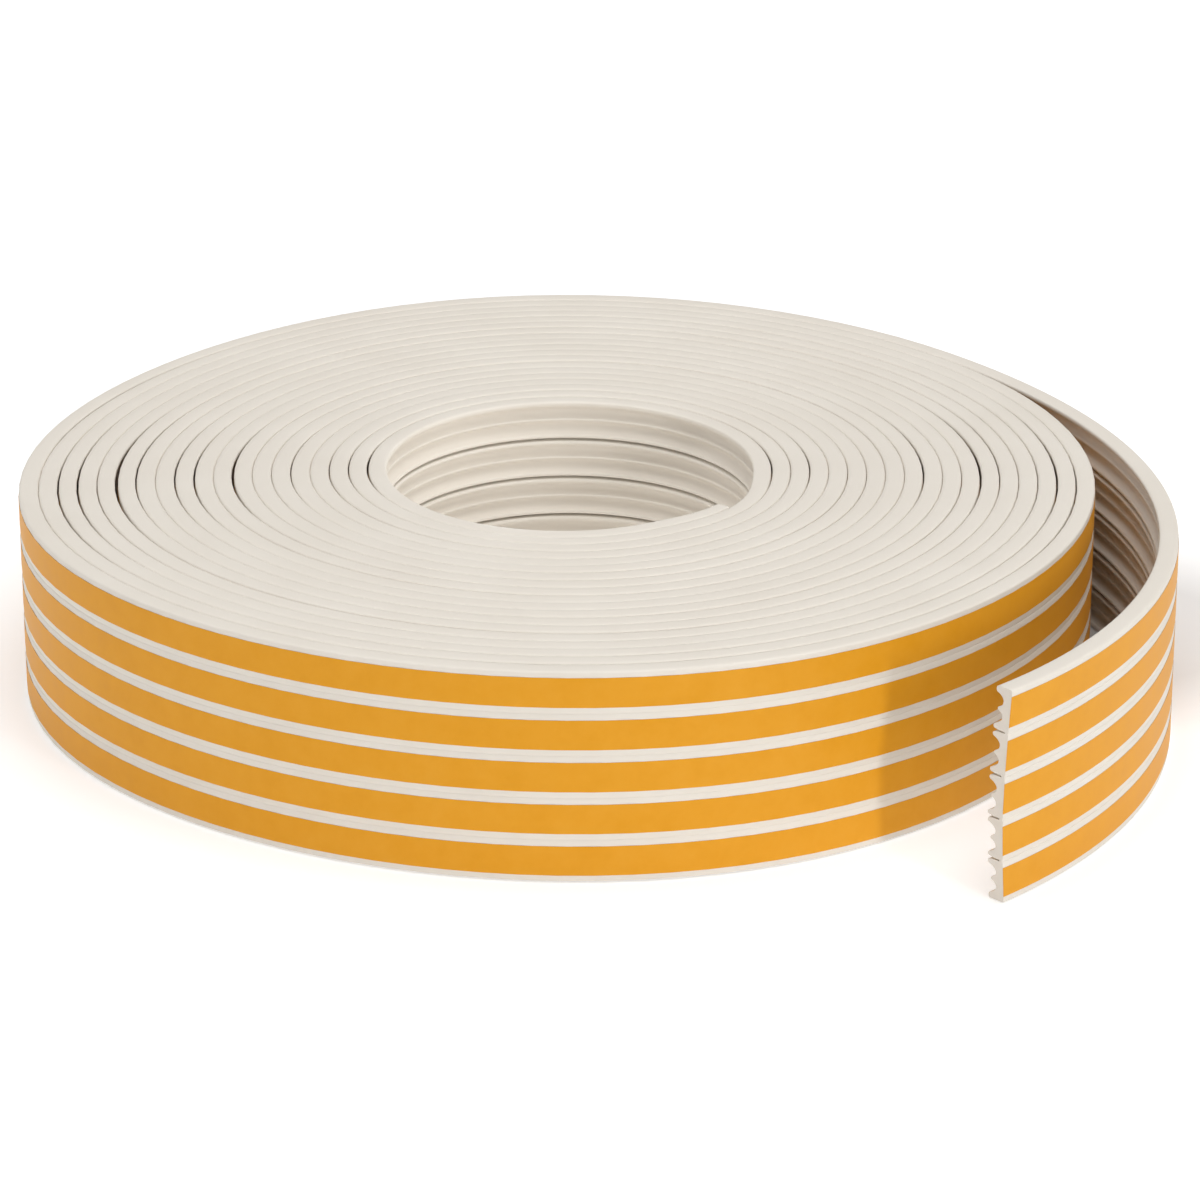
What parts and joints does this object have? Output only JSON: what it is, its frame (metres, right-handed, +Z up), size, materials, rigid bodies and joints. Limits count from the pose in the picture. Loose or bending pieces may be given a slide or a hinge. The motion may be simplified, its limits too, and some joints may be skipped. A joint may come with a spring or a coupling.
{
  "type": "self-adhesive window seal roll",
  "caption": "Band of E-profile rubber window seal with adhesive liners, wound flat round an open bore, its free end curving away to show the ribbed section.",
  "frame": {"origin": "middle of the footprint's box, on the floor that the roll lies on", "axes": "+Z up along the roll's axis, -Y towards the front of the picture, +X towards the free end"},
  "size_m": [0.2458, 0.2436, 0.045],
  "materials": {
    "seal_rubber": "fine-pored cream foam rubber, satin to matte",
    "release_liner": "thin orange-yellow waxed release paper, soft sheen"
  },
  "bodies": {
    "root": {"seal_band": "seal_rubber", "liner_strip_1": "release_liner", "liner_strip_2": "release_liner", "liner_strip_3": "release_liner", "liner_strip_4": "release_liner", "liner_strip_5": "release_liner"}
  },
  "joints": []
}
